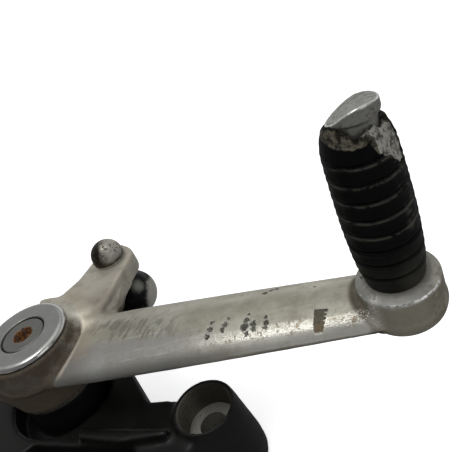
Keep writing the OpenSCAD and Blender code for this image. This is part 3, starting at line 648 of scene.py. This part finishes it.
# Toe peg
# A steel peg pressed into the boss. Its flanged head was bent and ground away at a slant
# when the machine lay on its side, so the top is a bright, scored, slightly domed face.
HEAD = Vector((118.45, -0.95))
HEAD_RADIUS = 6.4
HEAD_FOOT = 100.75
SHANK = ((0.0, 41.0), (4.4, 41.0), (4.95, 41.6), (4.95, 60.0), (4.95, 94.0), (5.05, 95.0), (5.2, 96.4),
         (5.25, 98.0), (5.25, 99.6), (5.4, 100.3), (5.9, 100.6))
# Above the shank the profile's heights are row numbers: the head's side, its face, the middle
SIDE_ROW = 200
SIDE_ROWS = 16
FACE_ROW = 300
FACE_ROWS = 23


def ground(x, y):
    """Height of the ground face over a point, in mm from the head's middle."""
    scratch = noise.noise(Vector((x * 0.35 + y * 0.5, (y - x * 0.5) * 1.9, 0)))
    return 102.75 + 0.335 * x - 0.174 * y - 0.041 * x * x + 0.05 * max(0.0, -2.5 - x) ** 2 + 0.10 * scratch


profile = (list(SHANK) + [(6.1, SIDE_ROW + k) for k in range(SIDE_ROWS)]
           + [(5.7 - 0.25 * k, FACE_ROW + k) for k in range(FACE_ROWS)] + [(0.0, END_ROW)])
peg, work = turned("toe_peg_ground", profile, 144, PEG)
face = work.verts.layers.float.new("ground")
for v in work.verts:
    p = from_pivot(v)
    dx, dy = p.x - PEG.x, p.y
    a = math.atan2(dy, dx)
    top = ground(HEAD_RADIUS * math.cos(a), HEAD_RADIUS * math.sin(a))
    under = min(HEAD_FOOT, top - 0.35)
    if p.z < SIDE_ROW - 1:
        bent = (HEAD - PEG) * ease(p.z, 94.5, 100.3)
        z = min(p.z, under + (p.z - HEAD_FOOT) * 0.2) if p.z > 97 else p.z
        v.co = placed(p.x + bent.x, p.y + bent.y, z)
    elif p.z < FACE_ROW - 1:
        t = (round(p.z) - SIDE_ROW) / (SIDE_ROWS - 1)
        soft = 0.28 + 0.42 * ease(-math.sin(a + 0.25), 0.0, 0.8)
        bend = max(0.0, (t - 0.55) / 0.45) * math.pi / 2
        low = under + 0.12 + (max(top - soft, under + 0.14) - under - 0.12) * min(1.0, t / 0.55)
        r = HEAD_RADIUS - soft * (1 - math.cos(bend)) - 0.14 * (t == 0)
        z = low + min(soft, max(0.05, top - under - 0.2)) * math.sin(bend) - 0.10 * (t == 0)
        v.co = placed(HEAD.x + r * math.cos(a), HEAD.y + r * math.sin(a), z)
        v[face] = ease(t, 0.5, 0.9) * 0.5
    else:
        v.co = placed(HEAD.x + dx, HEAD.y + dy, ground(dx, dy))
        v[face] = 1.0
settle(peg, work)
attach(peg, "lever")
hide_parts("toe_peg")

scored = Finish("peg_steel_ground")
raw = scored.add("ShaderNodeAttribute", {"attribute_name": "ground"}, out="Fac")
patch = scored.noise(0.003, 4.0, 0.6)
fine = scored.noise(0.0008, 3.0, 0.6)
along_scores = scored.add("ShaderNodeMapping", {}, {
    "Vector": scored.here(), "Scale": (0.15, 1.0, 1.0), "Rotation": (0.0, 0.0, -0.35)})
scores = scored.noise(0.0007, 3.0, 0.6, place=along_scores)
wide = patch - 0.5
# A painted highlight on the rounded bevel round the ground face
bevel_highlight = scored.window(raw, 0.1, 0.45, 0.55, 0.8)
tone = scored.coated(
    scored.mix(patch, (0.20, 0.195, 0.18), (0.36, 0.36, 0.335)),
    (raw, scored.mix(patch, (0.23, 0.225, 0.205), (0.42, 0.42, 0.39))),
    (scored.step(scores, 0.5, 0.68) * raw * 0.75, (0.11, 0.105, 0.09)),
    (scored.step(fine + wide * 0.6, 0.52, 0.7, 0.0, 0.65), (0.10, 0.09, 0.072)),
    # The painted bevel highlight
    (bevel_highlight * 0.8, (0.70, 0.70, 0.68)))
scored.surface(Base_Color=tone, Metallic=0.85,
               Roughness=(0.40 - bevel_highlight * 0.16 + (scores - 0.5) * 0.5 * raw + wide * 0.2).most(0.2),
               Normal=scored.bump(scores * raw * 1.2 + fine * 0.5, 0.00014))
peg.data.materials.append(scored.owner)

# Pivot collar and screw
# The turned steel collar the lever swings on. Its plated flange has gone dull, with a
# polished round rim, and the countersunk socket screw in it is full of orange rust.
RIM_WIDE = 1.55
RIM_HIGH = 1.5
barrel = [(4.3, 29.5), (8.6, 29.5), (8.97, 29.9), (8.97, 50.2), (14.1, 50.2)]
rim = [(12.75 + RIM_WIDE * math.cos(math.radians(t)), 50.5 + RIM_HIGH * math.sin(math.radians(t)))
       for t in range(0, 91, 6)]
seat = [(12.2, 52.0), (8.4, 52.0), (7.7, 51.95), (7.35, 51.75), (7.3, 51.4),
        (7.3, 47.3), (4.3, 47.3), (4.3, 29.5)]
collar, work = turned("pivot_collar_flange", barrel + rim + seat, 160, (0.0, 0.0))
settle(collar, work)
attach(collar, "bracket")
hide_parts("pivot_collar")

plate = Finish("dulled_plate")
px, py, pz = plate.axes(pivot_mm(plate))
out = off_axis(px, py)
patch = plate.noise(0.004, 4.0, 0.6)
fine = plate.noise(0.0007, 4.0, 0.65)
wide = patch - 0.5
# The rounded rim is polished, and its lighter colour is partly a painted highlight
polished_rim_highlight = plate.step(out + wide * 0.5, 12.5, 13.0)
speck = plate.step(fine, 0.60, 0.72)
tone = plate.coated(
    plate.mix(patch, (0.27, 0.275, 0.27), (0.40, 0.40, 0.385)),
    (polished_rim_highlight, plate.mix(patch, (0.42, 0.42, 0.40), (0.66, 0.66, 0.64))),
    (plate.step(pz + wide * 0.5, 51.0, 50.5) * 0.92, (0.045, 0.038, 0.026)),
    (speck * 0.55, (0.20, 0.185, 0.16)),
    (plate.window(out, 7.0, 7.2, 7.4, 7.9) * 0.8, (0.07, 0.06, 0.05)))
plate.surface(Base_Color=tone, Metallic=0.92,
              Roughness=(0.36 - polished_rim_highlight * 0.2 + wide * 0.16 + speck * 0.2).most(0.12),
              Normal=plate.bump(fine, 0.00003))
collar.data.materials.append(plate.owner)

screw, work = cast_from("pivot_screw", "pivot_screw_rusty", 0.0002, 2)
settle(screw, work)
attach(screw, "bracket")
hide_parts("pivot_screw")

rusty = Finish("rusty_screw")
px, py, pz = rusty.axes(pivot_mm(rusty))
patch = rusty.noise(0.003, 4.0, 0.6)
fine = rusty.noise(0.0008, 4.0, 0.65)
rust = rusty.step(off_axis(px, py) + (fine - 0.5) * 1.6, 3.75, 3.0)
tone = rusty.coated(
    rusty.mix(patch, (0.15, 0.152, 0.145), (0.23, 0.23, 0.215)),
    (rusty.step(fine, 0.55, 0.75, 0.0, 0.5), (0.17, 0.15, 0.12)),
    (rust, rusty.mix(rusty.step(fine, 0.4, 0.62), (0.055, 0.018, 0.004), (0.30, 0.115, 0.012))))
rusty.surface(Base_Color=tone, Metallic=0.9 - rust * 0.9, Roughness=0.42 + rust * 0.45,
              Normal=rusty.bump(fine * (0.4 + rust * 3.0), 0.0001))
screw.data.materials.append(rusty.owner)

# Rod stud
# A ball stud for the gear-change rod: a polished steel ball on the inner side of the
# rod arm, its shank through the arm, and a dull domed nut over a washer outside. The ball
# is dark all but its outer side, with grease and a painted dark reflection, carries a painted
# pale reflection on its dark side, and sits a little off its shank.
ROD = (16.4, 36.6)
BALL_RADIUS = 8.7
BALL_HEIGHT = 28.8
OFF_SHANK = Vector((0.0004, 0.0010, 0.0))
OUTER_SIDE = (0.93, 0.13, -0.34)
arc = [(BALL_RADIUS * math.sin(math.radians(t)), BALL_HEIGHT - BALL_RADIUS * math.cos(math.radians(t)))
       for t in range(0, 151, 5)]
shank = [(4.1, 36.5), (3.95, 37.0), (4.0, 38.2), (5.1, 38.4), (5.2, 39.2), (2.98, 39.25),
         (2.98, 50.4), (2.6, 50.5), (0.0, 50.5)]
ball, work = turned("rod_ball_polished", arc + shank, 96, ROD)
for v in work.verts:
    v.co += OFF_SHANK * (1 - ease(v.co.z * 1000, 35.0, 39.0))
settle(ball, work)
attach(ball, "lever")
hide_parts("rod_ball_stud")

gleam = Finish("polished_ball")
mm = pivot_mm(gleam)
patch = gleam.noise(0.004, 4.0, 0.6)
fine = gleam.noise(0.001, 3.0, 0.6)
wide = patch - 0.5
from_middle = gleam.vector("SUBTRACT", mm, (*ROD, BALL_HEIGHT))
side = gleam.vector("DOT_PRODUCT", from_middle, OUTER_SIDE, out="Value")
# A painted pale reflection on the ball's dark side
from_pale_reflection = gleam.vector("DISTANCE", mm, (ROD[0] + 5.6, ROD[1] - 2.2, 34.4), out="Value")
# Grease and painted dark reflection over all but the ball's outer side
greasy_dark_reflection = gleam.step(side + wide * 3.0, 7.9, 5.6)
grease_and_dark_reflection = gleam.coated(
    gleam.mix(gleam.step(from_pale_reflection + wide * 3.2, 0.6, 3.4), (0.19, 0.195, 0.165), (0.005, 0.006, 0.005)),
    (gleam.step(fine, 0.6, 0.8, 0.0, 0.6), (0.03, 0.028, 0.02)))
tone = gleam.mix(greasy_dark_reflection, gleam.mix(patch, (0.52, 0.50, 0.44), (0.64, 0.61, 0.54)), grease_and_dark_reflection)
gleam.surface(Base_Color=tone, Metallic=0.95 - greasy_dark_reflection * 0.9, Roughness=0.22 + wide * 0.2,
              Specular_IOR_Level=0.15, Normal=gleam.bump(fine, 0.00003))
ball.data.materials.append(gleam.owner)

nut, work = cast_from("rod_stud_nut", "rod_nut_domed", 0.00025, 3)
settle(nut, work)
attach(nut, "lever")
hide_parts("rod_stud_nut")

dulled = Finish("dull_nut")
mm = pivot_mm(dulled)
px, py, pz = dulled.axes(mm)
patch = dulled.noise(0.0035, 4.0, 0.6)
fine = dulled.noise(0.0008, 3.0, 0.6)
wide = patch - 0.5
# Painted light and shade: pale on the nut's outer side, painted dark on its other side
lit_side = (px - ROD[0]) * OUTER_SIDE[0] + (py - ROD[1]) * OUTER_SIDE[1]
tone = dulled.coated(
    dulled.mix(dulled.step(lit_side + wide * 6.0, -1.6, 2.5),
               (0.024, 0.021, 0.014), (0.47, 0.45, 0.395)),
    (dulled.step(fine + wide * 0.6, 0.5, 0.68), (0.09, 0.08, 0.06)),
    (dulled.step(pz + wide * 2.0, 50.3, 48.2), (0.05, 0.036, 0.022)))
dulled.surface(Base_Color=tone, Metallic=0.85, Roughness=0.46 + wide * 0.3, Specular_IOR_Level=0.3,
               Normal=dulled.bump(fine + patch * 3.0, 0.00008))
nut.data.materials.append(dulled.owner)


# Small turned parts
# The parts that keep their solids: bearing bushes of bronze, lip seals, zinc-plated
# washers and nut, and the machined steel sleeves pressed in the mounting bosses.
def small_part(name, light, dark, stain, metallic, roughness, nodes):
    finish = Finish(name)
    patch = finish.noise(0.003, 4.0, 0.6)
    fine = finish.noise(0.0007, 3.0, 0.6)
    wide = patch - 0.5
    tone = finish.coated(
        finish.mix(patch, dark, light),
        (finish.step(fine + wide * 0.5, 0.55, 0.75, 0.0, 0.7), stain))
    finish.surface(Base_Color=tone, Metallic=metallic, Roughness=(roughness + wide * 0.3).least(0.95),
                   Normal=finish.bump(fine, 0.00004))
    for node in nodes:
        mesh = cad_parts[node].data
        mesh.materials.clear()
        mesh.materials.append(finish.owner)


small_part("bush_bronze", (0.62, 0.44, 0.22), (0.42, 0.28, 0.13), (0.16, 0.10, 0.05), 1.0, 0.38,
           ("bush_outer_end", "bush_inner_end", "clevis_bush_front", "clevis_bush_rear"))
small_part("seal_lip", (0.022, 0.022, 0.022), (0.010, 0.010, 0.010), (0.07, 0.06, 0.05), 0.0, 0.6,
           ("seal_outer_end", "seal_inner_end"))
small_part("zinc_plate", (0.52, 0.52, 0.50), (0.36, 0.36, 0.34), (0.16, 0.13, 0.09), 1.0, 0.4,
           ("thrust_washer", "pivot_nut", "pivot_nut_washer", "rod_stud_washer"))
small_part("sleeve_steel", (0.62, 0.61, 0.56), (0.46, 0.45, 0.40), (0.15, 0.12, 0.08), 0.8, 0.42,
           ("mount_sleeve_front", "mount_sleeve_rear"))
